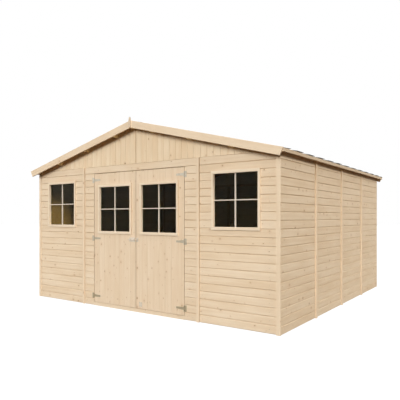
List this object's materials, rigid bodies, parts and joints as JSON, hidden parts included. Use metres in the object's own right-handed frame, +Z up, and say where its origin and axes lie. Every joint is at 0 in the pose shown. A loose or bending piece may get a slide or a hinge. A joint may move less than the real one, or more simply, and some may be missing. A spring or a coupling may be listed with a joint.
{
  "type": "wooden garden shed",
  "caption": "Apex-roofed garden shed of boarded wooden panels, with hinged double doors, fixed barred windows and a shingled roof on purlins.",
  "frame": {"origin": "on the ground, at the middle of the footprint", "axes": "+Z up, -Y out of the doors, +X to the right seen from outside the doors"},
  "size_m": [4.152, 4.146, 2.459],
  "materials": {
    "wall_boards": "planed spruce, untreated",
    "door_boards": "planed spruce, untreated",
    "trim_wood": "planed spruce, untreated",
    "window_wood": "planed spruce, untreated",
    "frame_wood": "sawn spruce",
    "deck_boards": "planed spruce, untreated",
    "shingles": "mineral-faced bitumen",
    "window_glass": "clear",
    "galvanised_steel": "galvanised"
  },
  "bodies": {
    "shed": {"left_wall": "wall_boards", "right_wall": "wall_boards", "back_wall": "wall_boards", "front_wall_left": "wall_boards", "front_wall_right": "wall_boards", "door_sides": "wall_boards", "door_header": "wall_boards", "front_gable": "wall_boards", "back_gable": "wall_boards", "front_battens": "trim_wood", "side_battens": "trim_wood", "back_battens": "trim_wood", "corner_trims": "trim_wood", "eaves_boards": "trim_wood", "front_bargeboards": "trim_wood", "back_bargeboards": "trim_wood", "apex_battens": "trim_wood", "window_frames": "window_wood", "wall_studs": "frame_wood", "bottom_rails": "frame_wood", "top_rails": "frame_wood", "purlins": "frame_wood", "floor_bearers": "frame_wood", "door_sill": "frame_wood", "floor_deck": "deck_boards", "roof_deck_left": "deck_boards", "roof_deck_right": "deck_boards", "roof_shingles_left": "shingles", "roof_shingles_right": "shingles", "ridge_cap": "shingles", "window_panes": "window_glass", "hinge_plates": "galvanised_steel"},
    "left_door": {"left_door_leaf": "door_boards", "left_door_ledges": "frame_wood", "left_door_window_frame": "window_wood", "left_door_pane": "window_glass", "left_door_straps": "galvanised_steel", "bolt_housing": "galvanised_steel"},
    "right_door": {"right_door_leaf": "door_boards", "right_door_ledges": "frame_wood", "right_door_window_frame": "window_wood", "right_door_pane": "window_glass", "right_door_straps": "galvanised_steel", "bolt_keeper": "galvanised_steel"},
    "bolt": {"bolt_rod": "galvanised_steel"}
  },
  "joints": [
    {"name": "left_door_hinge", "type": "hinge", "parent": "shed", "child": "left_door", "pos_m": [-0.7725, -1.958, 0.918], "axis": [0, 0, -1], "range_deg": [0, 165]},
    {"name": "right_door_hinge", "type": "hinge", "parent": "shed", "child": "right_door", "pos_m": [0.7725, -1.958, 0.918], "axis": [0, 0, 1], "range_deg": [0, 165]},
    {"name": "bolt_slide", "type": "slide", "parent": "left_door", "child": "bolt", "axis": [1, 0, 0], "range_m": [0, 0.03]}
  ]
}
